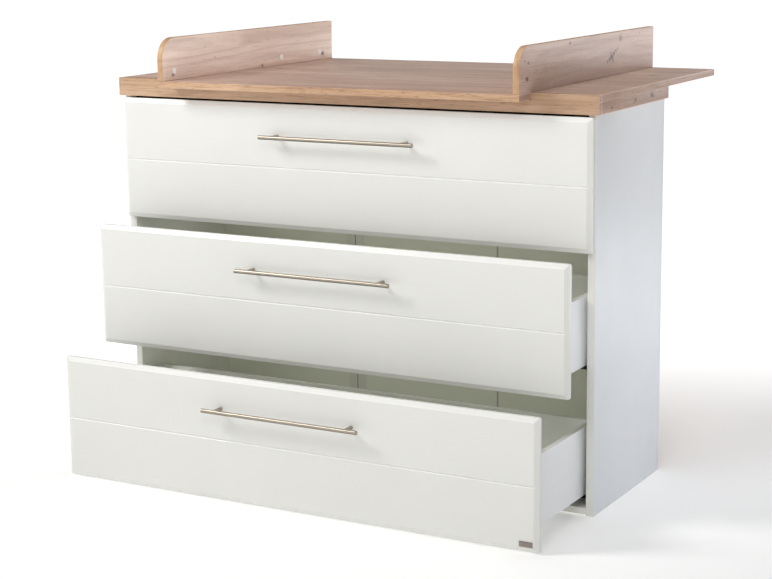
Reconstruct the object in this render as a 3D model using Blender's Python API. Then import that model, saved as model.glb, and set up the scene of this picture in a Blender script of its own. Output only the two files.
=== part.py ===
"""Wide changing table: a three-drawer dresser under an oak-look changing top.

Frame: +X runs along the width, to the viewer's right, +Y to the back, +Z up. The origin is on
the floor, under the middle of the whole table as it stands, with the drawers at their rest
openings. Every length is in metres.
"""
import bpy
import bmesh
from math import cos, pi, radians, sin
from mathutils import Matrix, Vector

# Boards
PANEL = 0.018                 # white side and bottom boards
OAK_BOARD = 0.016             # oak-look boards and lippings
FRONT_BOARD = 0.016           # milled drawer fronts
BOX_BOARD = 0.012             # drawer sides and backs
BOX_FLOOR = 0.006             # drawer floors
BACK_SHEET = 0.003            # hardboard back
GAP = 0.0003                  # between pieces that touch
ARRIS = 0.0008                # broken edge of a board

# Carcass
CARCASS_WIDTH = 1.270
CARCASS_DEPTH = 0.406
CARCASS_HEIGHT = 0.910
FLOOR_CLEARANCE = 0.003       # under the bottom board and the lowest front
BACK_INSET = 0.013            # from the sides' rear edges to the back sheet
GROOVE_DEPTH = 0.006          # of the groove that holds the back sheet
BACK_JOINT = 0.206            # from the middle to each joint in the back sheet
CROSS_RAIL_HEIGHT = 0.070
FRONT_RAIL_INSET = 0.020

# Top
TOP_WIDTH = 1.290
TOP_THICKNESS = 0.044
TOP_FACE = 0.012              # the front lipping stands this far before the carcass
TOP_REAR = 0.722              # rear edge of the changing top behind the carcass front
TONGUE = 0.058                # the changing surface stands this far before the lipping
SIDE_STRIP_WIDTH = 0.060
RAIL_SPAN = 0.966             # over both guard rails, and the width of the tongue
GUARD_HEIGHT = 0.103
GUARD_RADIUS = 0.052
GUARD_SETBACK = 0.001         # from the front of the tongue to the front of a guard rail
CAM_RADIUS = 0.0075
CAM_DEPTH = 0.0120
CAM_HEIGHT = 0.022            # cam centre above the changing surface
CAM_STATIONS = (-0.022, 0.461, 0.655)     # behind the carcass front

# Drawers, from top to bottom
OPENINGS = (0.0, 0.118, 0.270)            # rest openings
FRONT_WIDTH = 1.263
FRONT_TOP_GAP = 0.005         # between the top front and the lipping
FRONT_GAP = 0.003             # between two fronts
BUFFER_GAP = 0.002            # between a closed front and the carcass
FRONT_BEVEL = 0.011
FRONT_BEVEL_DROP = 0.006
FRONT_CORNER = 0.004
GROOVE_HEIGHT = 0.1465        # of a front's decorative groove above its lower edge
GROOVE_WIDTH = 0.005
GROOVE_CUT = 0.0025
GROOVE_CLEARANCE = 0.001      # that the groove's cutter stands proud of the face
BOX_LENGTH = 0.350
BOX_HEIGHT = 0.160
BOX_RISE = 0.043              # box's lower edge above the front's lower edge
BOX_SIDE_GAP = 0.008          # between a drawer side and the carcass side
FLOOR_RISE = 0.0125           # drawer floor above the box's lower edge
FLOOR_GROOVE = 0.005

# Handles
HANDLE_DROP = 0.0765          # handle's axis below the front's upper edge
BAR_LENGTH = 0.415
BAR_RADIUS = 0.005
POST_SPACING = 0.350
POST_RADIUS = 0.0045
BAR_STANDOFF = 0.033          # from the front's face to the bar's axis

# Concealed runners: one profile in the cabinet, one slide, one profile under the drawer
STEEL = 0.0015
RUNNER_LENGTH = 0.350
RUNNER_END = 0.003            # from the carcass front to the cabinet profile
SLIDE_LENGTH = 0.330
RUNNER_REACH = 0.0465         # from the carcass side to the cabinet profile's inner wall
RUNNER_FLANGE = 0.022         # screw flange's lower edge below the drawer box
RUNNER_SEAT = 0.0065          # profile's underside below the drawer box

PLATE_SIZE = (0.032, 0.001, 0.0125)       # blank metal plate on the lowest front

TOP_LEVEL = CARCASS_HEIGHT + TOP_THICKNESS
BOARD_LEVEL = TOP_LEVEL - OAK_BOARD
INNER = CARCASS_WIDTH / 2 - PANEL
TONGUE_FACE = -TOP_FACE - TONGUE
FRONT_HEIGHT = (CARCASS_HEIGHT - FRONT_TOP_GAP - FLOOR_CLEARANCE - 2 * FRONT_GAP) / 3
HANDLE_REACH = BUFFER_GAP + FRONT_BOARD + BAR_STANDOFF + BAR_RADIUS
# The carcass front lies this far from the origin, so that the origin is the middle of the depth.
CARCASS_FRONT = -(TOP_REAR - OPENINGS[-1] - HANDLE_REACH) / 2

WHITE = ("white_board", (0.86, 0.86, 0.85), 0.45, 0.0)
LACQUER = ("white_front", (0.88, 0.87, 0.85), 0.35, 0.0)
OAK = ("oak_board", (0.60, 0.42, 0.27), 0.55, 0.0)
GREY = ("drawer_board", (0.80, 0.81, 0.80), 0.50, 0.0)
NICKEL = ("brushed_nickel", (0.66, 0.61, 0.55), 0.32, 1.0)
ZINC = ("runner_steel", (0.45, 0.46, 0.47), 0.40, 1.0)
CAP = ("cap_plastic", (0.88, 0.87, 0.85), 0.40, 0.0)


def clear_scene():
    for item in list(bpy.data.objects):
        bpy.data.objects.remove(item, do_unlink=True)


def material(name, finish):
    look, colour, roughness, metallic = finish
    made = bpy.data.materials.new(f"{name}_{look}")
    made.use_nodes = True
    shader = made.node_tree.nodes["Principled BSDF"]
    shader.inputs["Base Color"].default_value = (*colour, 1.0)
    shader.inputs["Roughness"].default_value = roughness
    shader.inputs["Metallic"].default_value = metallic
    made.diffuse_color = (*colour, 1.0)
    return made


def empty(name, location, parent=None):
    made = bpy.data.objects.new(name, None)
    made.location = location
    made.parent = parent
    bpy.context.scene.collection.objects.link(made)
    return made


def add_mesh(name, bm, location, parent, finish):
    bmesh.ops.recalc_face_normals(bm, faces=bm.faces)
    mesh = bpy.data.meshes.new(name)
    bm.to_mesh(mesh)
    bm.free()
    made = bpy.data.objects.new(name, mesh)
    made.location = location
    made.parent = parent
    if finish is not None:
        mesh.materials.append(material(name, finish))
    bpy.context.scene.collection.objects.link(made)
    return made


def break_edges(piece, width=ARRIS, segments=2):
    bevel = piece.modifiers.new("broken_edges", "BEVEL")
    bevel.width = width
    bevel.segments = segments
    bevel.limit_method = "ANGLE"
    bevel.angle_limit = radians(40)
    return piece


def board(name, low, high, finish, parent, arris=ARRIS):
    """A rectangular board between two corners of its parent's frame."""
    low, high = Vector(low), Vector(high)
    bm = bmesh.new()
    bmesh.ops.create_cube(bm, size=1.0)
    bmesh.ops.scale(bm, vec=high - low, verts=bm.verts)
    piece = add_mesh(name, bm, (low + high) / 2, parent, finish)
    return break_edges(piece, arris) if arris else piece


def prism(name, outline, axis, start, end, finish, parent, arris=ARRIS):
    """An outline drawn across one axis and drawn out along it.

    The outline's two coordinates are the other two axes, in X, Y, Z order.
    """
    across = [i for i in range(3) if i != "XYZ".index(axis)]
    bm = bmesh.new()
    ring = []
    for point in outline:
        place = [start] * 3
        place[across[0]], place[across[1]] = point
        ring.append(bm.verts.new(place))
    face = bm.faces.new(ring)
    drawn = bmesh.ops.extrude_face_region(bm, geom=[face])
    shift = Vector([end - start if letter == axis else 0.0 for letter in "XYZ"])
    moved = [item for item in drawn["geom"] if isinstance(item, bmesh.types.BMVert)]
    bmesh.ops.translate(bm, vec=shift, verts=moved)
    centre = sum((v.co for v in bm.verts), Vector()) / len(bm.verts)
    bmesh.ops.translate(bm, vec=-centre, verts=bm.verts)
    piece = add_mesh(name, bm, centre, parent, finish)
    return break_edges(piece, arris) if arris else piece


def rod(name, radius, start, end, finish, parent, sides=32):
    """A round rod between two points of its parent's frame."""
    start, end = Vector(start), Vector(end)
    bm = bmesh.new()
    turn = Vector((0, 0, 1)).rotation_difference(end - start).to_matrix().to_4x4()
    bmesh.ops.create_cone(
        bm, cap_ends=True, segments=sides, radius1=radius, radius2=radius,
        depth=(end - start).length, matrix=turn,
    )
    piece = add_mesh(name, bm, (start + end) / 2, parent, finish)
    piece.data.shade_smooth()
    piece.data.set_sharp_from_angle(angle=radians(35))
    return piece


def as_cutter(piece):
    piece.hide_render = True
    piece.display_type = "WIRE"
    return piece


def combine(piece, other, operation):
    step = piece.modifiers.new(other.name, "BOOLEAN")
    step.operation = operation
    step.object = other
    step.solver = "EXACT"


def mirrored(outline, side):
    """An outline for the right side (+1), or its mirror image for the left (-1)."""
    return [(side * x, y) for x, y in outline]


def side_name(side):
    return "right" if side > 0 else "left"


def side_panel(side, parent):
    """A side board with the groove that the back sheet runs in."""
    outer = CARCASS_WIDTH / 2
    groove_back = CARCASS_DEPTH - BACK_INSET + GAP
    groove_front = groove_back - BACK_SHEET - 2 * GAP
    outline = [
        (outer, 0), (outer, CARCASS_DEPTH), (INNER, CARCASS_DEPTH),
        (INNER, groove_back), (INNER + GROOVE_DEPTH, groove_back),
        (INNER + GROOVE_DEPTH, groove_front), (INNER, groove_front), (INNER, 0),
    ]
    name = f"side_panel_{side_name(side)}"
    prism(name, mirrored(outline, side), "Z", 0, CARCASS_HEIGHT, WHITE, parent, 0.0004)


def back_sheets(parent):
    """The hardboard back is three sheets side by side, joined by tape."""
    rear = CARCASS_DEPTH - BACK_INSET
    edge = INNER + GROOVE_DEPTH - GAP
    spans = (("left", -edge, -BACK_JOINT - GAP), ("middle", -BACK_JOINT, BACK_JOINT),
             ("right", BACK_JOINT + GAP, edge))
    for name, low, high in spans:
        board(f"back_sheet_{name}", (low, rear - BACK_SHEET, FLOOR_CLEARANCE),
              (high, rear, CARCASS_HEIGHT - GAP), GREY, parent, 0)


def carcass(parent):
    for side in (-1, 1):
        side_panel(side, parent)
    reach = INNER - GAP
    inside = CARCASS_DEPTH - BACK_INSET - BACK_SHEET - GAP
    rail_top = CARCASS_HEIGHT - GAP
    rail_foot = rail_top - CROSS_RAIL_HEIGHT
    board("bottom_panel", (-reach, 0.001, FLOOR_CLEARANCE),
          (reach, inside, FLOOR_CLEARANCE + OAK_BOARD), WHITE, parent)
    board("front_cross_rail", (-reach, FRONT_RAIL_INSET, rail_foot),
          (reach, FRONT_RAIL_INSET + OAK_BOARD, rail_top), WHITE, parent)
    board("rear_cross_rail", (-reach, inside - OAK_BOARD, rail_foot),
          (reach, inside, rail_top), WHITE, parent)
    back_sheets(parent)


def changing_board(parent):
    """The changing surface: one board with a tongue that stands out between the guard rails."""
    half, tongue = TOP_WIDTH / 2, RAIL_SPAN / 2
    shoulder = OAK_BOARD - TOP_FACE + GAP
    outline = [
        (-half, shoulder), (-tongue, shoulder), (-tongue, TONGUE_FACE), (tongue, TONGUE_FACE),
        (tongue, shoulder), (half, shoulder), (half, TOP_REAR), (-half, TOP_REAR),
    ]
    prism("changing_board", outline, "Z", BOARD_LEVEL, TOP_LEVEL, OAK, parent)


def front_lipping(parent):
    """The full-height front strip, notched so that the tongue lies on it."""
    half, notch = TOP_WIDTH / 2, RAIL_SPAN / 2 + GAP
    low, seat = CARCASS_HEIGHT, BOARD_LEVEL - GAP
    outline = [
        (-half, low), (half, low), (half, TOP_LEVEL), (notch, TOP_LEVEL),
        (notch, seat), (-notch, seat), (-notch, TOP_LEVEL), (-half, TOP_LEVEL),
    ]
    prism("front_lipping", outline, "Y", -TOP_FACE, OAK_BOARD - TOP_FACE, OAK, parent)


def side_strip(side, parent):
    half = TOP_WIDTH / 2
    xs = sorted((side * half, side * (half - SIDE_STRIP_WIDTH)))
    board(f"side_strip_{side_name(side)}",
          (xs[0], OAK_BOARD - TOP_FACE + GAP, CARCASS_HEIGHT + GAP),
          (xs[1], CARCASS_DEPTH, BOARD_LEVEL - GAP), OAK, parent)


def guard_outline():
    """A guard rail seen from the side, its upper front corner rounded."""
    front, foot, head = TONGUE_FACE + GUARD_SETBACK, TOP_LEVEL + GAP, TOP_LEVEL + GUARD_HEIGHT
    corner = Vector((front + GUARD_RADIUS, head - GUARD_RADIUS))
    steps = 14
    arc = [corner + GUARD_RADIUS * Vector((-sin(a), cos(a)))
           for a in (i * pi / 2 / steps for i in range(steps + 1))]
    return [(TOP_REAR, foot), (TOP_REAR, head), *[tuple(p) for p in arc], (front, foot)]


def guard_rail(side, parent):
    """A guard rail, bored on its inner face for the cams that hold it to the changing board."""
    outer = RAIL_SPAN / 2 - 0.0005
    inner = outer - OAK_BOARD
    name = side_name(side)
    rail = prism(f"guard_rail_{name}", guard_outline(), "X", side * inner, side * outer, OAK, parent)
    for number, station in enumerate(CAM_STATIONS, 1):
        height = TOP_LEVEL + CAM_HEIGHT
        mouth = Vector((side * (inner - 0.002), station, height))
        end = Vector((side * (inner + CAM_DEPTH + GAP), station, height))
        bore = rod(f"cam_bore_{name}_{number}", CAM_RADIUS, mouth, end, None, parent)
        combine(rail, as_cutter(bore), "DIFFERENCE")
        start = Vector((side * inner, station, height))
        end = Vector((side * (inner + CAM_DEPTH), station, height))
        cam = rod(f"cam_{name}_{number}", CAM_RADIUS - GAP, start, end, CAP, parent)
        break_edges(cam, 0.0005, 1)


def rounded_rectangle(width, height, radius, inset, steps=3):
    """Points of a rounded rectangle in X and Z, standing on Z = 0, each side inset alike."""
    points = []
    for turn, (sx, sz) in enumerate(((1, 1), (-1, 1), (-1, -1), (1, -1))):
        middle_x = sx * (width / 2 - inset - radius)
        middle_z = height / 2 + sz * (height / 2 - inset - radius)
        for step in range(steps + 1):
            angle = (turn + step / steps) * pi / 2
            points.append((middle_x + radius * cos(angle), middle_z + radius * sin(angle)))
    return points


def drawer_front(name, parent):
    """A front with a wide bevel round its face and one groove across it."""
    face, shoulder = -FRONT_BOARD, -(FRONT_BOARD - FRONT_BEVEL_DROP)
    layers = (
        (0, ARRIS, FRONT_CORNER - ARRIS), (-ARRIS, 0, FRONT_CORNER),
        (shoulder, 0, FRONT_CORNER), (face, FRONT_BEVEL, 0.0015),
    )
    bm = bmesh.new()
    rings = []
    for y, inset, radius in layers:
        points = rounded_rectangle(FRONT_WIDTH, FRONT_HEIGHT, radius, inset)
        rings.append([bm.verts.new((x, y, z)) for x, z in points])
    for near, far in zip(rings, rings[1:]):
        for i, corner in enumerate(near):
            j = (i + 1) % len(near)
            bm.faces.new((corner, near[j], far[j], far[i]))
    bm.faces.new(rings[0])
    bm.faces.new(rings[-1])
    front = add_mesh(f"{name}_front", bm, (0, 0, 0), parent, LACQUER)
    half = GROOVE_WIDTH / 2
    deep, out = face + GROOVE_CUT, face - GROOVE_CLEARANCE
    flare = half * (GROOVE_CUT + GROOVE_CLEARANCE) / GROOVE_CUT
    section = [(deep, GROOVE_HEIGHT), (out, GROOVE_HEIGHT + flare), (out, GROOVE_HEIGHT - flare)]
    reach = FRONT_WIDTH / 2 + 0.01
    groove = prism(f"{name}_groove", section, "X", -reach, reach, None, parent, 0)
    combine(front, as_cutter(groove), "DIFFERENCE")


def box_side(name, side, parent):
    """A drawer side, grooved for the drawer floor."""
    outer = INNER - BOX_SIDE_GAP
    inner = outer - BOX_BOARD
    groove_low = BOX_RISE + FLOOR_RISE - GAP
    groove_high = groove_low + BOX_FLOOR + 2 * GAP
    outline = [
        (outer, BOX_RISE), (outer, BOX_RISE + BOX_HEIGHT), (inner, BOX_RISE + BOX_HEIGHT),
        (inner, groove_high), (inner + FLOOR_GROOVE, groove_high),
        (inner + FLOOR_GROOVE, groove_low), (inner, groove_low), (inner, BOX_RISE),
    ]
    prism(f"{name}_side_{side_name(side)}", mirrored(outline, side), "Y", GAP, BOX_LENGTH,
          GREY, parent, 0.0004)


def drawer_box(name, parent):
    for side in (-1, 1):
        box_side(name, side, parent)
    inner = INNER - BOX_SIDE_GAP - BOX_BOARD
    floor_low = BOX_RISE + FLOOR_RISE
    floor_high = floor_low + BOX_FLOOR
    reach = inner + FLOOR_GROOVE - GAP
    board(f"{name}_floor", (-reach, GAP, floor_low), (reach, BOX_LENGTH, floor_high), GREY, parent, 0)
    board(f"{name}_back", (GAP - inner, BOX_LENGTH - BOX_BOARD, floor_high + GAP),
          (inner - GAP, BOX_LENGTH, BOX_RISE + BOX_HEIGHT), GREY, parent, 0.0004)


def handle(name, parent):
    """A bar handle: a round bar on two round posts."""
    height = FRONT_HEIGHT - HANDLE_DROP
    axis = -FRONT_BOARD - BAR_STANDOFF
    half = BAR_LENGTH / 2
    bar = rod(f"{name}_handle", BAR_RADIUS, (-half, axis, height), (half, axis, height),
              NICKEL, parent)
    break_edges(bar, 0.0006, 1)
    for side in (-1, 1):
        x = side * POST_SPACING / 2
        post = rod(f"{name}_post_{side_name(side)}", POST_RADIUS, (x, -FRONT_BOARD - GAP, height),
                   (x, axis, height), None, parent)
        combine(bar, as_cutter(post), "UNION")


def cabinet_profile(name, side, carcass_frame, level):
    """The fixed runner: a screw flange on the carcass side and a trough for the slide."""
    wall, seat, lip = INNER - GAP, level - RUNNER_SEAT, level + 0.004
    inner = INNER - RUNNER_REACH
    outline = [
        (wall, level - RUNNER_FLANGE), (wall, seat + STEEL), (inner + STEEL, seat + STEEL),
        (inner + STEEL, lip), (inner, lip), (inner, seat),
        (wall - STEEL, seat), (wall - STEEL, level - RUNNER_FLANGE),
    ]
    prism(f"{name}_cabinet_{side_name(side)}", mirrored(outline, side), "Y", RUNNER_END,
          RUNNER_END + RUNNER_LENGTH, ZINC, carcass_frame, 0)


def channel(low_x, high_x, low_z, high_z, upward):
    """The outline of a folded channel, open upward or downward."""
    web = low_z if upward else high_z
    lip = high_z if upward else low_z
    inside = web + STEEL if upward else web - STEEL
    return [
        (low_x, web), (high_x, web), (high_x, lip), (high_x - STEEL, lip),
        (high_x - STEEL, inside), (low_x + STEEL, inside), (low_x + STEEL, lip), (low_x, lip),
    ]


def slide_profile(name, side, slide_frame, level):
    """The middle runner, half as far out as the drawer."""
    inner = INNER - RUNNER_REACH + 0.0045
    outline = channel(inner, inner + 0.017, level - 0.0045, level + 0.0095, True)
    start = RUNNER_END + (RUNNER_LENGTH - SLIDE_LENGTH) / 2
    prism(f"{name}_slide_{side_name(side)}", mirrored(outline, side), "Y", start,
          start + SLIDE_LENGTH, ZINC, slide_frame, 0)


def drawer_profile(name, side, drawer_frame):
    """The runner under the drawer floor, over the slide."""
    inner = INNER - RUNNER_REACH + 0.0020
    outline = channel(inner, inner + 0.022, BOX_RISE - 0.001, BOX_RISE + FLOOR_RISE - GAP, False)
    prism(f"{name}_drawer_{side_name(side)}", mirrored(outline, side), "Y", 0.002, BOX_LENGTH - 0.005,
          ZINC, drawer_frame, 0)


def runners(number, parent, drawer_frame, foot, opening):
    name = f"runner_{number}"
    slide_frame = empty(f"{name}_slide_axis", (0, -opening / 2, 0), parent)
    level = foot + BOX_RISE
    for side in (-1, 1):
        cabinet_profile(name, side, parent, level)
        slide_profile(name, side, slide_frame, level)
        drawer_profile(name, side, drawer_frame)


def blank_plate(parent):
    """A small blank metal plate in the lower right corner of the lowest front."""
    width, thickness, height = PLATE_SIZE
    right = FRONT_WIDTH / 2 - FRONT_BEVEL - 0.002
    low = FRONT_BEVEL + 0.0015
    face = -FRONT_BOARD - GAP
    board("drawer_3_plate", (right - width, face - thickness, low), (right, face, low + height),
          NICKEL, parent, 0.0003)


def drawer(number, opening, parent):
    """One drawer on its slide axis, drawn out by its rest opening."""
    pitch = FRONT_HEIGHT + FRONT_GAP
    foot = FLOOR_CLEARANCE + (len(OPENINGS) - number) * pitch
    name = f"drawer_{number}"
    frame = empty(f"{name}_axis", (0, -BUFFER_GAP - opening, foot), parent)
    drawer_front(name, frame)
    drawer_box(name, frame)
    handle(name, frame)
    runners(number, parent, frame, foot, opening)
    return frame


def build():
    clear_scene()
    table = empty("table_frame", (0, CARCASS_FRONT, 0))
    carcass(table)
    changing_board(table)
    front_lipping(table)
    for side in (-1, 1):
        side_strip(side, table)
        guard_rail(side, table)
    for number, opening in enumerate(OPENINGS, 1):
        lowest = drawer(number, opening, table)
    blank_plate(lowest)


build()
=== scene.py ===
"""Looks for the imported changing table: materials, small fittings, floor, lights and camera."""
import math

import bmesh
import bpy
from mathutils import Matrix, Vector


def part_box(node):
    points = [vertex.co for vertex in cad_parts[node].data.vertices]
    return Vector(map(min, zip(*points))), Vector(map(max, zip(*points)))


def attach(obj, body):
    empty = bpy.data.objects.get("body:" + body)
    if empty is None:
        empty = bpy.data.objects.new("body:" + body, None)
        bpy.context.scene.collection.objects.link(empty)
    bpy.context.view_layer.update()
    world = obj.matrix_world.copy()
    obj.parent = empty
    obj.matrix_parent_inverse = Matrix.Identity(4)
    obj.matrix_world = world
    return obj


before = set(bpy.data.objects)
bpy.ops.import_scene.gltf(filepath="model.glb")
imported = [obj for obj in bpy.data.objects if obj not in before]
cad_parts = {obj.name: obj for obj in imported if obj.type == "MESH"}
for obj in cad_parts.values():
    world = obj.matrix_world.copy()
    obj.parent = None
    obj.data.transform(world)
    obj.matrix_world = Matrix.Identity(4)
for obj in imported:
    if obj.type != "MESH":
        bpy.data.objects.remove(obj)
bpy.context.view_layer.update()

SIDES = ("left", "right")
DRAWERS = (1, 2, 3)
SMOOTH_ANGLE = math.radians(30)
FRONT_ANGLE = math.radians(16)
WELD_GAP = 1e-5


# ---------------------------------------------------------------- colours
def srgb(red, green, blue):
    """A colour given in 0-255 display values, as the shader's linear values."""
    def linear(value):
        value /= 255
        return value / 12.92 if value <= 0.04045 else ((value + 0.055) / 1.055) ** 2.4
    return (linear(red), linear(green), linear(blue), 1.0)


# ---------------------------------------------------------------- node trees
class Tree:
    """Short calls for one material's nodes. Every pattern is laid out in metres."""

    def __init__(self, name, roughness=0.5, metallic=0.0, specular=0.5):
        self.material = bpy.data.materials.new(name)
        self.material.use_nodes = True
        tree = self.material.node_tree
        self.nodes, self.links = tree.nodes, tree.links
        self.shader = next(n for n in self.nodes if n.type == "BSDF_PRINCIPLED")
        self.shader.inputs["Roughness"].default_value = roughness
        self.shader.inputs["Metallic"].default_value = metallic
        self.shader.inputs["Specular IOR Level"].default_value = specular
        where = self.nodes.new("ShaderNodeTexCoord")
        self.place, self.facing = where.outputs["Object"], where.outputs["Normal"]

    def feed(self, socket, value):
        if isinstance(value, bpy.types.NodeSocket):
            self.links.new(value, socket)
        else:
            socket.default_value = value

    def math(self, operation, first, second=0.0):
        node = self.nodes.new("ShaderNodeMath")
        node.operation = operation
        self.feed(node.inputs[0], first)
        self.feed(node.inputs[1], second)
        return node.outputs[0]

    def vector(self, operation, first, second=(0, 0, 0), scale=None):
        node = self.nodes.new("ShaderNodeVectorMath")
        node.operation = operation
        self.feed(node.inputs[0], first)
        self.feed(node.inputs[1], second)
        if scale is not None:
            self.feed(node.inputs["Scale"], scale)
        return node.outputs["Value" if operation in ("LENGTH", "DOT_PRODUCT") else "Vector"]

    def part(self, vector, axis):
        node = self.nodes.new("ShaderNodeSeparateXYZ")
        self.feed(node.inputs[0], vector)
        return node.outputs["XYZ".index(axis)]

    def noise(self, place, scale, detail=2.0, roughness=0.5, colour=False):
        node = self.nodes.new("ShaderNodeTexNoise")
        self.feed(node.inputs["Vector"], place)
        for name, value in (("Scale", scale), ("Detail", detail), ("Roughness", roughness)):
            node.inputs[name].default_value = value
        return node.outputs["Color" if colour else "Fac"]

    def cells(self, place, scale):
        node = self.nodes.new("ShaderNodeTexVoronoi")
        self.feed(node.inputs["Vector"], place)
        node.inputs["Scale"].default_value = scale
        return node.outputs["Color"]

    def remap(self, value, low, high, to_low=0.0, to_high=1.0):
        node = self.nodes.new("ShaderNodeMapRange")
        node.interpolation_type = "SMOOTHSTEP"
        for socket, setting in zip(node.inputs, (value, low, high, to_low, to_high)):
            self.feed(socket, setting)
        return node.outputs[0]

    def mix(self, share, first, second):
        node = self.nodes.new("ShaderNodeMix")
        node.data_type = "RGBA"
        self.feed(node.inputs["Factor"], share)
        self.feed(node.inputs[6], first)
        self.feed(node.inputs[7], second)
        return node.outputs[2]

    def bump(self, height, strength, distance, under=None):
        node = self.nodes.new("ShaderNodeBump")
        node.inputs["Strength"].default_value = strength
        node.inputs["Distance"].default_value = distance
        self.feed(node.inputs["Height"], height)
        if under is not None:
            self.links.new(under, node.inputs["Normal"])
        return node.outputs[0]

    def finish(self, colour, roughness=None, normal=None):
        self.feed(self.shader.inputs["Base Color"], colour)
        if roughness is not None:
            self.feed(self.shader.inputs["Roughness"], roughness)
        if normal is not None:
            self.feed(self.shader.inputs["Normal"], normal)
        return self.material


# ---------------------------------------------------------------- materials
def foil_front():
    """Satin foil on the drawer fronts: soft mottling, orange peel and faint rub marks, with faces
    that tilt upward painted nearly white as a painted highlight.
    """
    tree = Tree("satin_white_foil", 0.34, specular=0.45)
    cloud = tree.noise(tree.place, 5.0, 3.0, 0.55)
    colour = tree.mix(cloud, srgb(227, 227, 223), srgb(221, 221, 217))
    # Painted highlight: faces that tilt upward, such as the top bevels and the groove's lower flank,
    # are mixed towards near-white.
    painted_top_light = tree.remap(tree.part(tree.facing, "Z"), 0.2, 0.45, 0.0, 0.55)
    colour = tree.mix(painted_top_light, colour, srgb(250, 250, 247))
    rubbed = tree.noise(tree.vector("MULTIPLY", tree.place, (9, 9, 60)), 1.0, 4.0, 0.6)
    gloss = tree.remap(rubbed, 0.35, 0.75, 0.30, 0.42)
    waves = tree.bump(tree.noise(tree.place, 28.0, 2.0), 0.10, 0.0012)
    peel = tree.bump(tree.noise(tree.place, 620.0, 2.0), 0.16, 0.00012, waves)
    return tree.finish(colour, gloss, peel)


PANEL_MIDDLE = (0.624, 0.628)   # distance from the table's middle, halfway through a side board
MELAMINE_CLOUD = srgb(205, 206, 203)


def melamine(name, face, band, across, inside=None):
    """Pearl-textured melamine board with smoother edge bands; inner faces can have their own tone,
    which the side boards use to paint shade on their outer faces.
    """
    tree = Tree(name, specular=0.42)
    on_face = tree.remap(tree.math("ABSOLUTE", tree.part(tree.facing, across)), 0.45, 0.55)
    cloud = tree.noise(tree.place, 7.0, 3.0, 0.6)
    if inside:
        outward = tree.math("ABSOLUTE", tree.part(tree.place, across))
        face = tree.mix(tree.remap(outward, *PANEL_MIDDLE), inside, face)
    plain = tree.mix(tree.math("MULTIPLY", cloud, 0.35), face, MELAMINE_CLOUD)
    colour = tree.mix(on_face, band, plain)
    pearl = tree.noise(tree.place, 1400.0, 3.0, 0.6)
    gloss = tree.remap(tree.noise(tree.place, 16.0, 4.0), 0.3, 0.7, 0.37, 0.48)
    height = tree.math("MULTIPLY", pearl, tree.remap(on_face, 0.0, 1.0, 0.25, 1.0))
    return tree.finish(colour, gloss, tree.bump(height, 0.28, 0.00016))


def along_grain(axis, along, across):
    """Scales that stretch a pattern along the grain."""
    return tuple(along if name == axis else across for name in "XYZ")


def knotted(tree, axis, knots):
    """Bends the grain round each knot; returns the bent place, the halos and the cores."""
    place, halo, core = tree.place, 0.0, 0.0
    rough_edge = tree.noise(tree.place, 260.0, 3.0, 0.75, colour=True)
    wobble = tree.vector("SCALE", tree.vector("SUBTRACT", rough_edge, (0.5, 0.5, 0.5)), scale=0.011)
    wobbled = tree.vector("ADD", tree.place, wobble)
    for centre, radius, darkness in knots:
        away = tree.vector("SUBTRACT", wobbled, centre)
        squeezed = tree.vector("MULTIPLY", away, along_grain(axis, 0.7 / radius, 1.0 / radius))
        distance = tree.vector("LENGTH", squeezed)
        near = tree.remap(distance, 4.5, 0.0)
        offset = tree.vector("MULTIPLY", away, along_grain(axis, 0.0, -0.62))
        place = tree.vector("ADD", place, tree.vector("SCALE", offset, scale=near))
        halo = tree.math("MAXIMUM", halo, tree.remap(distance, 2.6, 0.9, 0.0, darkness))
        core = tree.math("MAXIMUM", core, tree.remap(distance, 1.35, 0.6, 0.0, darkness))
    return place, halo, core


def arris_of(tree):
    """One on the narrow broken edges between a board's flat faces, else nought."""
    facing = tree.vector("ABSOLUTE", tree.facing)
    flat = tree.math("MAXIMUM", tree.math("MAXIMUM", tree.part(facing, "X"),
                                          tree.part(facing, "Y")), tree.part(facing, "Z"))
    return tree.remap(flat, 0.93, 0.85)


# The colour of the painted highlight along rounded board edges.
EDGE_LIGHT = srgb(226, 204, 186)


def painted_edge_highlights(tree, lines):
    """One along each (axis, level) line, where a rounded board edge catches the light: the mask of a
    painted highlight.
    """
    share = 0.0
    for axis, level in lines:
        away = tree.math("ABSOLUTE", tree.math("SUBTRACT", tree.part(tree.place, axis), level))
        share = tree.math("MAXIMUM", share, tree.remap(away, 0.0016, 0.0005))
    return share


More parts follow.
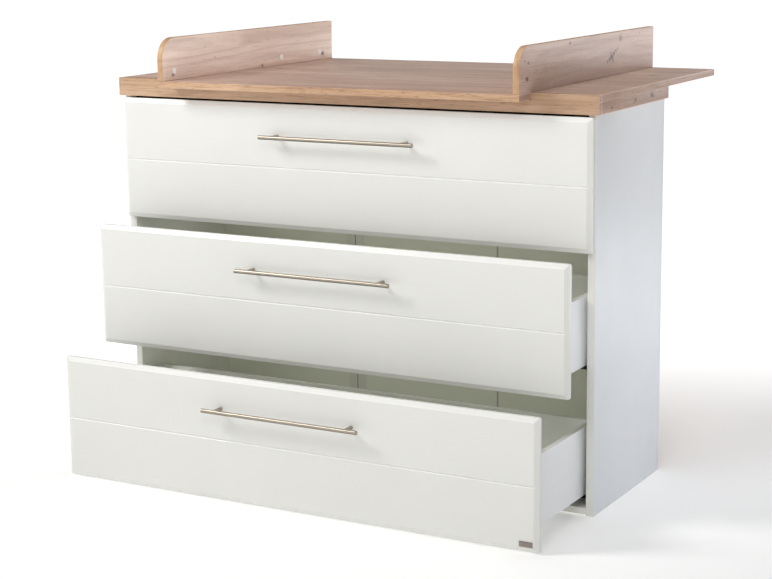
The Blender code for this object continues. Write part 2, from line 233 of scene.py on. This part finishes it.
def oak(name, axis, band_axis, face, band, knots=(), rough=0.46, depth=1.0, lines=()):
    """Knotty oak decor: drifting tone, contour figure, fine dark grain, pores and knots, with painted
    highlights on the broken edges and along the listed edge lines.
    """
    tree = Tree(name, rough, specular=0.5)
    place, halo, core = knotted(tree, axis, knots)
    sway = tree.noise(tree.vector("MULTIPLY", place, along_grain(axis, 2.2, 5.0)), 1.0, 2.0,
                      colour=True)
    place = tree.vector("ADD", place, tree.vector(
        "MULTIPLY", tree.vector("SUBTRACT", sway, (0.5, 0.5, 0.5)),
        along_grain(axis, 0.0, 0.022)))

    def layer(along, across, detail=3.0, roughness=0.6):
        return tree.noise(tree.vector("MULTIPLY", place, along_grain(axis, along, across)),
                          1.0, detail, roughness)

    tone, streak = layer(1.4, 15.0, 3.0), layer(3.6, 150.0, 4.0, 0.65)
    line, pore = layer(11.0, 520.0, 3.0, 0.7), layer(38.0, 620.0, 2.0)
    figure = tree.math("SINE", tree.math("MULTIPLY", layer(1.1, 10.0, 1.0), 60.0))
    on_band = tree.remap(tree.math("ABSOLUTE", tree.part(tree.facing, band_axis)), 0.55, 0.45)
    base = tree.mix(on_band, face["mid"], band["mid"])
    dark = tree.mix(on_band, face["dark"], band["dark"])
    light = tree.mix(on_band, face["light"], band["light"])
    colour = tree.mix(tree.remap(tone, 0.35, 0.68), light, base)
    colour = tree.mix(tree.remap(streak, 0.54, 0.74, 0.0, 0.45 * depth), colour, dark)
    colour = tree.mix(tree.remap(streak, 0.46, 0.30, 0.0, 0.4 * depth), colour, light)
    colour = tree.mix(tree.remap(line, 0.53, 0.66, 0.0, 0.6 * depth), colour, dark)
    colour = tree.mix(tree.remap(figure, 0.2, 1.0, 0.0, 0.22), colour, dark)
    pores = tree.math("MULTIPLY", tree.remap(pore, 0.60, 0.70), tree.remap(tone, 0.3, 0.6))
    colour = tree.mix(tree.math("MULTIPLY", pores, 0.6 * depth), colour, face["pore"])
    # Painted highlights: the broken edges and the listed edge lines are lightened where rounded edges
    # would catch the light.
    colour = tree.mix(tree.math("MULTIPLY", arris_of(tree), 0.55), colour, band["light"])
    colour = tree.mix(tree.math("MULTIPLY", painted_edge_highlights(tree, lines), 0.6), colour, EDGE_LIGHT)
    colour = tree.mix(tree.math("MULTIPLY", halo, 0.35), colour, face["dark"])
    colour = tree.mix(tree.math("MULTIPLY", core, 0.9), colour, face["knot"])
    gloss = tree.remap(streak, 0.3, 0.75, rough - 0.06, rough + 0.07)
    relief = tree.math("ADD", tree.math("MULTIPLY", line, 0.5), tree.math("MULTIPLY", pores, -0.7))
    relief = tree.math("SUBTRACT", relief, core)
    return tree.finish(colour, gloss, tree.bump(relief, 0.35, 0.00022))


def brushed(name, colour, axis, rough=0.3, underside_shade=0.0):
    """Brushed metal: fine scratches along one axis and drifting sheen; underside_shade paints the
    downward faces darker, a painted shade.
    """
    tree = Tree(name, rough, metallic=1.0)
    scratch = tree.noise(tree.vector("MULTIPLY", tree.place, along_grain(axis, 22, 2600)), 1.0,
                         4.0, 0.75)
    drift = tree.noise(tree.place, 24.0, 2.0)
    deep = tuple(0.72 * part for part in colour[:3]) + (1.0,)
    tint = tree.mix(tree.remap(scratch, 0.35, 0.7, 0.0, 0.35), colour, deep)
    if underside_shade:
        # Painted shade: faces that turn downward are mixed towards a dark copy of the colour.
        under = tree.remap(tree.part(tree.facing, "Z"), 0.15, -0.75, 0.0, underside_shade)
        tint = tree.mix(under, tint, tuple(0.3 * part for part in colour[:3]) + (1.0,))
    gloss = tree.math("ADD", tree.remap(scratch, 0.3, 0.7, rough - 0.04, rough + 0.06),
                      tree.math("MULTIPLY", drift, 0.05))
    return tree.finish(tint, gloss, tree.bump(scratch, 0.1, 0.00003))


def galvanised(name, shade=1.0):
    """Zinc-coated sheet with its crystal spangle and a dull bloom; shade scales its colours down,
    which the fixed runners use as painted shade.
    """
    def tinted(*values):
        return tuple(shade * part for part in srgb(*values)[:3]) + (1.0,)

    tree = Tree(name, 0.38, metallic=1.0)
    spangle = tree.part(tree.cells(tree.place, 260.0), "X")
    bloom = tree.noise(tree.place, 45.0, 4.0, 0.65)
    colour = tree.mix(spangle, tinted(168, 171, 174), tinted(203, 206, 208))
    colour = tree.mix(tree.remap(bloom, 0.45, 0.75, 0.0, 0.5), colour, tinted(150, 153, 156))
    gloss = tree.math("ADD", tree.remap(bloom, 0.3, 0.7, 0.28, 0.46),
                      tree.math("MULTIPLY", spangle, 0.08))
    return tree.finish(colour, gloss, tree.bump(bloom, 0.1, 0.0002))


def moulded(name, colour, rough=0.4, grain=900.0, mottle=0.8):
    """Moulded plastic or rubber: fine spark texture and slight mottling."""
    tree = Tree(name, rough, specular=0.45)
    fine = tree.noise(tree.place, grain, 3.0, 0.6)
    cloud = tree.noise(tree.place, 40.0, 2.0)
    deep = tuple(0.88 * part for part in colour[:3]) + (1.0,)
    tint = tree.mix(tree.math("MULTIPLY", cloud, mottle), colour, deep)
    gloss = tree.remap(fine, 0.3, 0.7, rough - 0.06, rough + 0.08)
    return tree.finish(tint, gloss, tree.bump(fine, 0.3, 0.00008))


BACK_JOINT = 0.206            # of each joint between the back sheets from the middle


def from_joint(tree):
    """Distance from the nearer of the two joints between the back sheets."""
    off_middle = tree.math("ABSOLUTE", tree.part(tree.place, "X"))
    return tree.math("ABSOLUTE", tree.math("SUBTRACT", off_middle, BACK_JOINT))


def hardboard():
    """Thin back sheet: lacquered white inside, raw pressed fibre outside."""
    tree = Tree("back_hardboard", 0.6, specular=0.3)
    outside = tree.remap(tree.part(tree.facing, "Y"), 0.45, 0.55)
    fibre = tree.noise(tree.place, 420.0, 4.0, 0.75)
    shred = tree.noise(tree.vector("MULTIPLY", tree.place, (120, 120, 900)), 1.0, 3.0, 0.7)
    cloud = tree.noise(tree.place, 6.0, 3.0, 0.6)
    raw = tree.mix(cloud, srgb(158, 122, 86), srgb(140, 104, 70))
    raw = tree.mix(tree.remap(fibre, 0.5, 0.7, 0.0, 0.7), raw, srgb(108, 76, 48))
    raw = tree.mix(tree.remap(shred, 0.58, 0.7, 0.0, 0.6), raw, srgb(190, 158, 120))
    lacquer = tree.mix(cloud, srgb(245, 246, 235), srgb(240, 241, 229))
    edge = tree.remap(from_joint(tree), 0.0030, 0.0012, 0.0, 0.6)
    lacquer = tree.mix(edge, lacquer, srgb(128, 129, 120))
    gloss = tree.remap(outside, 0.0, 1.0, 0.45, 0.85)
    return tree.finish(tree.mix(outside, lacquer, raw), gloss, tree.bump(fibre, 0.22, 0.00025))


def paper_tape():
    """White fabric-backed tape: a fine weave with small creases."""
    tree = Tree("white_joint_tape", 0.55, specular=0.35)
    weave = tree.math("MULTIPLY",
                      tree.math("SINE", tree.math("MULTIPLY", tree.part(tree.place, "X"), 5200.0)),
                      tree.math("SINE", tree.math("MULTIPLY", tree.part(tree.place, "Z"), 5200.0)))
    crease = tree.noise(tree.vector("MULTIPLY", tree.place, (60, 60, 9)), 1.0, 4.0, 0.6)
    colour = tree.mix(crease, srgb(240, 239, 233), srgb(226, 225, 217))
    # Darker along the line over the joint, where the tape's middle dips in.
    joint_line = tree.remap(from_joint(tree), 0.0022, 0.0008, 0.0, 0.75)
    colour = tree.mix(joint_line, colour, srgb(120, 120, 112))
    relief = tree.math("ADD", tree.math("MULTIPLY", weave, 0.15), crease)
    return tree.finish(colour, tree.remap(crease, 0.3, 0.7, 0.48, 0.62),
                       tree.bump(relief, 0.3, 0.0003))


BACKDROP_SIDE = (-0.494, 0.869, 0.0)     # level direction away from the camera
REARWARD_REACH, OUTWARD_REACH = (-0.3, 1.6), (1.4, 3.6)
FLOOR_GLOW = (0.22, 0.95)                # near the table, and far from it


def pale_floor():
    """The plain pale floor: faintly cloudy, and glowing more the farther it is from the table."""
    tree = Tree("pale_floor", 0.7, specular=0.1)
    tree.shader.inputs["Emission Color"].default_value = (1.0, 1.0, 1.0, 1.0)
    rearward = tree.vector("DOT_PRODUCT", tree.place, BACKDROP_SIDE)
    outward = tree.vector("LENGTH", tree.vector("MULTIPLY", tree.place, (1, 1, 0)))
    glow = tree.math("MAXIMUM", tree.remap(rearward, *REARWARD_REACH, *FLOOR_GLOW),
                     tree.remap(outward, *OUTWARD_REACH, *FLOOR_GLOW))
    tree.feed(tree.shader.inputs["Emission Strength"], glow)
    cloud = tree.noise(tree.place, 1.3, 3.0, 0.5)
    return tree.finish(tree.mix(cloud, srgb(250, 250, 250), srgb(247, 247, 247)))


def toned(palette, red, green, blue):
    """The palette with its colours scaled, as linear values."""
    return {tone: (colour[0] * red, colour[1] * green, colour[2] * blue, 1.0)
            for tone, colour in palette.items()}


OAK_FACE = {"light": srgb(190, 163, 149), "mid": srgb(172, 142, 127), "dark": srgb(138, 107, 92),
            "pore": srgb(104, 78, 66), "knot": srgb(66, 54, 58)}
OAK_BAND = {"light": srgb(210, 174, 141), "mid": srgb(189, 151, 119), "dark": srgb(150, 113, 84)}
# One oak decor. These copies are scaled to match the light on each piece: the top and both rails are
# painted lighter, and the rails also paler (painted light and sheen). The side strips and the lipping
# band are painted darker (painted shade). RAIL_BAND is the edge band made darker and less yellow.
OAK_TOP_PAINTED_LIGHT = toned(OAK_FACE, 1.36, 1.37, 1.36)
OAK_STRIP_PAINTED_SHADE = toned(OAK_FACE, 0.96, 0.90, 0.85)
OAK_RIGHT_PAINTED_LIGHT = toned(OAK_FACE, 1.22, 1.27, 1.33)
OAK_LEFT_PAINTED_LIGHT = toned(OAK_FACE, 2.02, 2.33, 2.50)
RAIL_BAND = toned(OAK_BAND, 0.92, 0.88, 0.78)
LIPPING_BAND_PAINTED_SHADE = toned(OAK_BAND, 0.86, 0.87, 0.88)
KNOTS_TOP = (((-0.31, 0.12, 0.954), 0.006, 0.8), ((0.19, 0.37, 0.954), 0.008, 0.8),
             ((0.57, 0.30, 0.954), 0.007, 0.8), ((-0.58, -0.05, 0.954), 0.006, 0.7))
KNOTS_LEFT = (((-0.4665, -0.226, 0.966), 0.0030, 1.0), ((-0.4665, -0.088, 1.026), 0.0014, 0.7),
              ((-0.4665, -0.046, 0.997), 0.0016, 0.8), ((-0.4665, 0.168, 0.960), 0.0028, 1.0),
              ((-0.4665, 0.186, 0.972), 0.0012, 0.6), ((-0.4665, 0.472, 0.9705), 0.0046, 1.0))
KNOTS_RIGHT = (((0.4825, 0.251, 0.9990), 0.0066, 1.0), ((0.4825, 0.264, 1.0065), 0.0042, 1.0),
               ((0.4825, 0.277, 1.0125), 0.0034, 0.9), ((0.4825, 0.288, 1.0175), 0.0022, 0.8),
               ((0.4825, 0.238, 0.9940), 0.0042, 0.9), ((0.4825, 0.226, 0.9895), 0.0030, 0.8),
               ((0.4825, 0.246, 1.0085), 0.0028, 0.8), ((0.4825, 0.260, 0.9895), 0.0032, 0.8),
               ((0.4825, 0.306, 1.041), 0.0058, 0.7), ((0.4825, 0.430, 1.046), 0.0016, 0.7),
               ((0.4825, -0.227, 0.9850), 0.0046, 0.9), ((0.4825, -0.239, 1.0245), 0.0018, 0.9),
               ((0.4825, -0.220, 1.0190), 0.0021, 1.0), ((0.4825, 0.004, 1.0480), 0.0030, 1.0))
KNOTS_STRIP = (((0.645, 0.100, 0.9270), 0.0055, 1.0), ((0.645, 0.112, 0.9235), 0.0025, 1.0),
               ((0.645, 0.000, 0.9245), 0.0036, 1.0), ((0.645, -0.010, 0.9200), 0.0020, 0.9),
               ((0.645, -0.138, 0.9210), 0.0026, 0.9))

WHITE_BAND = srgb(228, 227, 222)
LOOKS = {
    "foil": foil_front(),
    # The side boards' outer faces get a darker, bluer white than their inner faces and the other
    # white boards: painted shade.
    "side": melamine("white_board_side", srgb(219, 222, 227), WHITE_BAND, "X",
                     inside=srgb(247, 248, 240)),
    "flat": melamine("white_board_flat", srgb(242, 243, 237), WHITE_BAND, "Z"),
    "upright": melamine("white_board_upright", srgb(243, 244, 236), WHITE_BAND, "Y"),
    "box": melamine("drawer_board_side", srgb(233, 235, 238), WHITE_BAND, "X"),
    "top": oak("oak_top", "X", "Z", OAK_TOP_PAINTED_LIGHT, OAK_BAND, KNOTS_TOP, 0.40, 1.5),
    "rail_left": oak("oak_rail_left", "Y", "X", OAK_LEFT_PAINTED_LIGHT, RAIL_BAND, KNOTS_LEFT, 0.46, 0.5),
    "rail_right": oak("oak_rail_right", "Y", "X", OAK_RIGHT_PAINTED_LIGHT, RAIL_BAND, KNOTS_RIGHT, 0.42, 0.6),
    # The strip's listed lines lie on its board edges and get painted highlights.
    "strip": oak("oak_strip", "Y", "X", OAK_STRIP_PAINTED_SHADE, OAK_BAND, KNOTS_STRIP, 0.46, 1.1,
                 (("Z", 0.9535), ("Z", 0.9380), ("Z", 0.9105), ("Y", -0.2095), ("Y", -0.194))),
    "lipping": oak("oak_lipping", "X", "X", OAK_FACE, LIPPING_BAND_PAINTED_SHADE),
    # The bar's downward faces are painted darker: painted shade.
    "nickel": brushed("brushed_nickel_bar", srgb(176, 167, 154), "X", 0.36, 0.6),
    "plate": brushed("brushed_steel_plate", srgb(148, 138, 130), "X", 0.34),
    # The fixed runners are the same zinc darkened to 0.16: painted shade for the deep shade inside
    # the carcass.
    "zinc_painted_shade": galvanised("zinc_darkened_for_shade", 0.16),
    # Black for the strip that paints the shade in the gap over the top drawer.
    "gap_shade_black": moulded("black_gap_shade", srgb(20, 20, 21), 0.85, 500.0),
    "zinc": galvanised("galvanised_steel"),
    "cap": moulded("white_cap_plastic", srgb(255, 255, 254), 0.3, 900.0, 0.25),
    "rubber": moulded("clear_grey_rubber", srgb(206, 208, 206), 0.5),
    "screw": brushed("zinc_screw", srgb(190, 192, 192), "Z", 0.3),
    "hardboard": hardboard(),
    "tape": paper_tape(),
    "floor": pale_floor(),
}
BY_NODE = {
    "side_panel_left": "side", "side_panel_right": "side", "bottom_panel": "flat",
    "front_cross_rail": "upright", "rear_cross_rail": "upright", "changing_board": "top",
    "front_lipping": "lipping", "side_strip_left": "strip", "side_strip_right": "strip",
    "guard_rail_left": "rail_left", "guard_rail_right": "rail_right", "drawer_3_plate": "plate",
}
BY_WORD = (("back_sheet", "hardboard"), ("cam_", "cap"), ("_cabinet_", "zinc_painted_shade"),
           ("runner_", "zinc"), ("_front", "foil"),
           ("_handle", "nickel"), ("_side_", "box"), ("_back", "upright"), ("_floor", "flat"))


def look_of(node):
    return BY_NODE.get(node) or next(look for word, look in BY_WORD if word in node)


def smooth_by_angle(thing, angle=SMOOTH_ANGLE):
    """Joins split corners and keeps only the sharp edges hard, without moving a vertex."""
    mesh = thing.data
    if mesh.attributes.get("custom_normal"):
        mesh.attributes.remove(mesh.attributes["custom_normal"])
    mesh.polygons.foreach_set("use_smooth", [True] * len(mesh.polygons))
    weld = thing.modifiers.new("weld", "WELD")
    weld.merge_threshold = WELD_GAP
    split = thing.modifiers.new("split", "EDGE_SPLIT")
    split.split_angle = angle


for node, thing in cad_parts.items():
    thing.data.materials.clear()
    thing.data.materials.append(LOOKS[look_of(node)])
    smooth_by_angle(thing, FRONT_ANGLE if "_front" in node else SMOOTH_ANGLE)


# The end faces of the changing board and the lipping take the strip look, with its painted-shade
# palette and painted edge highlights.
END_LOOKS = {"changing_board": "strip", "front_lipping": "strip"}
for node, look in END_LOOKS.items():
    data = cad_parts[node].data
    data.materials.append(LOOKS[look])
    for polygon in data.polygons:
        if abs(polygon.normal.x) > 0.7:
            polygon.material_index = 1


# ---------------------------------------------------------------- added pieces
def piece(name, mesh, look, body):
    """Turns a bmesh into a piece of the object that rides on one body."""
    bmesh.ops.recalc_face_normals(mesh, faces=mesh.faces)
    data = bpy.data.meshes.new(name)
    mesh.to_mesh(data)
    mesh.free()
    data.materials.append(LOOKS[look])
    thing = bpy.data.objects.new(name, data)
    bpy.context.scene.collection.objects.link(thing)
    smooth_by_angle(thing)
    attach(thing, body)
    return thing


def turned(mesh, outline, centre, direction, segments=24):
    """Spins an outline of (radius, height) points round an axis through centre."""
    turn = Vector((0, 0, 1)).rotation_difference(Vector(direction)).to_matrix()
    rings = []
    for radius, height in outline:
        count = 1 if radius == 0 else segments
        rings.append([mesh.verts.new(Vector(centre) + turn @ Vector((
            radius * math.cos(math.tau * k / segments),
            radius * math.sin(math.tau * k / segments), height))) for k in range(count)])
    for low, high in zip(rings, rings[1:]):
        for k in range(segments):
            following = (k + 1) % segments
            corners = [low[k % len(low)], low[following % len(low)],
                       high[following % len(high)], high[k % len(high)]]
            mesh.faces.new(list(dict.fromkeys(corners)))


SEAT = 0.00005                # gap between a fitting and the face that it stands on


def screw_head(mesh, centre, direction, radius, height):
    """A pan head with a shallow round drive, standing on the surface."""
    turned(mesh, [(0, SEAT), (radius, SEAT), (radius, height * 0.35), (radius * 0.86, height * 0.8),
                  (radius * 0.55, height), (radius * 0.42, height), (radius * 0.3, height * 0.45),
                  (0, height * 0.4)], centre, direction)


def cover_cap(mesh, centre, direction, radius=0.0073):
    """A thin domed cover cap with a stepped rim."""
    turned(mesh, [(0, SEAT), (radius, SEAT), (radius, 0.0004), (radius * 0.93, 0.0009),
                  (radius * 0.86, 0.0009), (radius * 0.82, 0.00075), (radius * 0.4, 0.00105),
                  (0, 0.0011)], centre, direction, 32)


def cam_lock(mesh, centre, direction, radius=0.0075):
    """A cam fitting's face, with the round recess for the screwdriver."""
    turned(mesh, [(0, SEAT), (radius, SEAT), (radius, 0.0005), (radius * 0.94, 0.0008),
                  (radius * 0.52, 0.0008), (radius * 0.45, 0.0003), (0, 0.00025)],
           centre, direction, 28)


def buffer_pad(mesh, centre, direction):
    """A self-adhesive rubber bumper."""
    turned(mesh, [(0, SEAT), (0.0042, SEAT), (0.0042, 0.0008), (0.0036, 0.0014),
                  (0.0022, 0.0017), (0, 0.0017)], centre, direction, 20)


def cover_caps():
    for side, sign in zip(SIDES, (-1, 1)):
        for number in (1, 2, 3):
            low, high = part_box(f"cam_{side}_{number}")
            face = high.x if side == "left" else low.x
            mesh = bmesh.new()
            centre = (low + high) / 2
            cover_cap(mesh, (face, centre.y, centre.z), (-sign, 0, 0))
            piece(f"cap_cover_{side}_{number}", mesh, "cap", "carcass")


def strip_of_tape(name, centre_x, face_y, outward, low_z, high_z):
    """A tape strip over a back joint, pressed into the joint along its middle."""
    half, thick, dip = 0.027, 0.00012, 0.00005
    columns = (-half, -0.018, -0.009, -0.002, 0.0, 0.002, 0.009, 0.018, half)
    rows = 24
    mesh = bmesh.new()
    grid = {}
    for j in range(rows + 1):
        z = low_z + (high_z - low_z) * j / rows
        for i, offset in enumerate(columns):
            lift = thick + 0.00002 * math.sin(7.0 * j + 2.3 * i) - (dip if offset == 0 else 0)
            x = centre_x + offset + 0.0002 * math.sin(1.7 * j + i)
            grid[0, i, j] = mesh.verts.new((x, face_y + outward * 0.00002, z))
            grid[1, i, j] = mesh.verts.new((x, face_y + outward * lift, z))
    last = len(columns) - 1
    for j in range(rows):
        for i in range(last):
            for level in (0, 1):
                mesh.faces.new([grid[level, i, j], grid[level, i + 1, j],
                                grid[level, i + 1, j + 1], grid[level, i, j + 1]])
        for i in (0, last):
            mesh.faces.new([grid[0, i, j], grid[1, i, j], grid[1, i, j + 1], grid[0, i, j + 1]])
    for j in (0, rows):
        for i in range(last):
            mesh.faces.new([grid[0, i, j], grid[0, i + 1, j], grid[1, i + 1, j], grid[1, i, j]])
    piece(name, mesh, "tape", "carcass")


def back_tapes():
    """One joint is taped inside and the other outside."""
    low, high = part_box("back_sheet_middle")
    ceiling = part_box("rear_cross_rail")[0].z - 0.002
    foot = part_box("bottom_panel")[1].z + 0.001
    strip_of_tape("back_tape_inside", low.x, low.y, -1, foot, ceiling)
    strip_of_tape("back_tape_outside", high.x, high.y, 1, low.z + 0.002, high.z - 0.002)


HANDLE_POST = 0.175           # of each handle post from the drawer's middle
BUFFER_OUT = 0.6255           # of each buffer, opposite the edge of a side board


def drawer_fittings(number):
    """Handle screws, bumper pads and cam fittings of one drawer."""
    name, body = f"drawer_{number}", f"drawer_{number}"
    front_low, front_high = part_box(f"{name}_front")
    handle_low, handle_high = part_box(f"{name}_handle")
    level = (handle_low.z + handle_high.z) / 2
    mesh = bmesh.new()
    for x in (-HANDLE_POST, HANDLE_POST):
        screw_head(mesh, (x, front_high.y, level), (0, 1, 0), 0.0042, 0.0022)
    piece(f"{name}_handle_screws", mesh, "screw", body)
    mesh = bmesh.new()
    for x in (-BUFFER_OUT, BUFFER_OUT):
        for z in (front_low.z + 0.03, front_high.z - 0.03):
            buffer_pad(mesh, (x, front_high.y, z), (0, 1, 0))
    piece(f"{name}_buffers", mesh, "rubber", body)
    for side, sign in zip(SIDES, (-1, 1)):
        low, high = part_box(f"{name}_side_{side}")
        face = high.x if side == "left" else low.x
        mesh = bmesh.new()
        for z in (low.z + 0.045, high.z - 0.035):
            cam_lock(mesh, (face, low.y + 0.034, z), (-sign, 0, 0))
        piece(f"{name}_cams_{side}", mesh, "zinc", body)
    low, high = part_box(f"{name}_back")
    mesh = bmesh.new()
    for side, sign in zip(SIDES, (-1, 1)):
        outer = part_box(f"{name}_side_{side}")[1 if sign > 0 else 0].x
        for z in (low.z + 0.03, high.z - 0.03):
            screw_head(mesh, (outer, (low.y + high.y) / 2, z), (sign, 0, 0), 0.0034, 0.0006)
    piece(f"{name}_back_screws", mesh, "screw", body)


def runner_screws(number):
    """The screws that hold each fixed runner to the carcass side."""
    for side, sign in zip(SIDES, (-1, 1)):
        low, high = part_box(f"runner_{number}_cabinet_{side}")
        wall = (low.x if side == "left" else high.x) - sign * 0.0015
        mesh = bmesh.new()
        for share in (0.08, 0.5, 0.92):
            y = low.y + share * (high.y - low.y)
            screw_head(mesh, (wall, y, low.z + 0.006), (-sign, 0, 0), 0.0032, 0.0016)
        piece(f"runner_{number}_screws_{side}", mesh, "screw", "carcass")


def wedge(mesh, corner, along, up, depth):
    """A small ribbed wedge that presses the back sheet into its groove."""
    along, up, depth = Vector(along), Vector(up), Vector(depth)
    corner = Vector(corner)
    outline = [up * 0, up * 0.011, up * 0.0105 + depth * 0.0025, up * 0.003 + depth * 0.0095,
               depth * 0.0105]
    ends = [[mesh.verts.new(corner + p + along * t) for p in outline] for t in (-0.014, 0.014)]
    mesh.faces.new(ends[0])
    mesh.faces.new(ends[1][::-1])
    for k in range(len(outline)):
        following = (k + 1) % len(outline)
        mesh.faces.new([ends[0][k], ends[0][following], ends[1][following], ends[1][k]])


def back_wedges():
    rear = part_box("back_sheet_left")[1].y + 0.0001
    mesh = bmesh.new()
    for side, sign in zip(SIDES, (-1, 1)):
        low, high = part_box(f"side_panel_{side}")
        inner = high.x if side == "left" else low.x
        for z in (0.16, 0.44, 0.72):
            wedge(mesh, (inner - sign * 0.0001, rear, z), (0, 0, 1), (-sign, 0, 0), (0, 1, 0))
    thing = piece("back_wedges", mesh, "cap", "carcass")
    bevel = thing.modifiers.new("soft", "BEVEL")
    bevel.width, bevel.segments = 0.0006, 2
    thing.modifiers.move(2, 1)


def gap_shade_strip():
    """A black strip along the front rail, just behind the gap over the top front: a dark sheet that
    paints the shade in the gap.
    """
    low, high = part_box("front_cross_rail")
    thick, tall, columns = 0.0016, 0.021, 48
    mesh = bmesh.new()
    rings = []
    for k in range(columns + 1):
        x = low.x + 0.001 + (high.x - low.x - 0.002) * k / columns
        wave = 0.00015 * math.sin(2.1 * k)
        top, foot, face = high.z - 0.0002, high.z - tall + wave, low.y - 0.0001
        rings.append([mesh.verts.new((x, y, z)) for y, z in (
            (face, foot), (face - thick + wave, foot + 0.0005),
            (face - thick - wave, top - 0.0005), (face, top))])
    for near, far in zip(rings, rings[1:]):
        for k in range(4):
            mesh.faces.new([near[k], near[(k + 1) % 4], far[(k + 1) % 4], far[k]])
    mesh.faces.new(rings[0])
    mesh.faces.new(rings[-1][::-1])
    piece("gap_shade_strip", mesh, "gap_shade_black", "carcass")


cover_caps()
gap_shade_strip()
back_tapes()
back_wedges()
for drawer in DRAWERS:
    drawer_fittings(drawer)
    runner_screws(drawer)


# ---------------------------------------------------------------- floor, light, camera
FLOOR_REACH = 60.0
FLOOR_DROP = 0.0002           # below the boards that stand on it
floor_mesh = bmesh.new()
bmesh.ops.create_grid(floor_mesh, x_segments=8, y_segments=8, size=FLOOR_REACH)
floor_data = bpy.data.meshes.new("floor")
floor_mesh.to_mesh(floor_data)
floor_mesh.free()
floor_data.materials.append(LOOKS["floor"])
floor = bpy.data.objects.new("floor", floor_data)
floor.location.z = -FLOOR_DROP
bpy.context.scene.collection.objects.link(floor)


def soft_light(name, place, target, size, power, colour, spread=180.0):
    """A rectangular light turned towards a place; size is (width, height), spread is in degrees."""
    lamp = bpy.data.lights.new(name, "AREA")
    lamp.shape, lamp.energy, lamp.color = "RECTANGLE", power, colour
    lamp.size, lamp.size_y = size
    lamp.spread = math.radians(spread)
    light = bpy.data.objects.new(name, lamp)
    light.location = place
    aim = Vector(target) - Vector(place)
    light.rotation_euler = aim.to_track_quat("-Z", "Y").to_euler()
    light.visible_camera = False
    bpy.context.scene.collection.objects.link(light)


WARM, COOL = (1.0, 0.99, 0.975), (0.93, 0.96, 1.0)
soft_light("key_left", (-2.7, -2.5, 3.4), (0.0, -0.2, 0.6), (1.3, 1.3), 107.0, WARM)
soft_light("front_fill", (1.6, -3.7, 3.4), (0.0, -0.2, 0.6), (1.6, 1.6), 46.0, WARM)
soft_light("front_low_fill", (2.2, -3.9, 1.35), (0.0, -0.2, 0.7), (1.6, 1.2), 11.0, WARM)
soft_light("over_top", (0.2, 0.1, 3.2), (0.0, 0.0, 0.5), (1.6, 1.6), 17.0, WARM)
soft_light("rear_rail_glow", (0.9, 1.3, 1.35), (0.0, 0.1, 1.0), (1.1, 0.9), 2.1, WARM, 100.0)
soft_light("rear_side_glow", (1.3, 0.5, 0.36), (0.635, 0.05, 0.3), (0.7, 0.4), 1.15, COOL, 110.0)
soft_light("opening_fill_2", (0.0, -0.06, 0.625), (0.0, 0.2, 0.2), (1.0, 0.15), 0.22, WARM)
soft_light("opening_fill_3", (0.0, -0.10, 0.325), (0.0, 0.2, 0.0), (1.0, 0.15), 0.19, WARM)


SKY_STRENGTH, SKY_TINT = 0.62, (0.985, 0.993, 1.0)
CEILING = 0.17                # brightness overhead, as a share of the brightness at the horizon


def studio_sky():
    """Light from a pale backdrop near the horizon and a broad soft ceiling."""
    world = bpy.data.worlds.new("studio")
    bpy.context.scene.world = world
    world.use_nodes = True
    nodes, links = world.node_tree.nodes, world.node_tree.links
    where, split = nodes.new("ShaderNodeTexCoord"), nodes.new("ShaderNodeSeparateXYZ")
    ramp = nodes.new("ShaderNodeValToRGB")
    links.new(where.outputs["Generated"], split.inputs[0])
    links.new(split.outputs["Z"], ramp.inputs[0])
    links.new(ramp.outputs[0], nodes["Background"].inputs["Color"])
    stops = ((0.0, 1.0), (0.10, 1.0), (0.26, CEILING), (1.0, CEILING))
    for _ in stops[2:]:
        ramp.color_ramp.elements.new(0.5)
    for element, (height, level) in zip(ramp.color_ramp.elements, stops):
        element.position = height
        element.color = tuple(level * part for part in SKY_TINT) + (1.0,)
    nodes["Background"].inputs["Strength"].default_value = SKY_STRENGTH


studio_sky()
bpy.context.scene.view_settings.view_transform = "Standard"
bpy.context.scene.cycles.diffuse_bounces = 10

SENSOR_WIDTH, VIEW_DISTANCE, VIEW_WIDTH = 36.0, 1805.56, 772
camera_data = bpy.data.cameras.new("camera")
camera_data.sensor_width = SENSOR_WIDTH
camera_data.lens = VIEW_DISTANCE / VIEW_WIDTH * SENSOR_WIDTH
camera = bpy.data.objects.new("camera", camera_data)
camera.matrix_world = (
    Matrix.Translation((2.1580, -3.8097, 1.3278)) @ Matrix.Rotation(0.5168, 4, "Z")
    @ Matrix.Rotation(-0.2016, 4, "X") @ Matrix.Rotation(0.0141, 4, "Y")
    @ Matrix.Rotation(math.radians(90), 4, "X"))
bpy.context.scene.collection.objects.link(camera)
bpy.context.scene.camera = camera
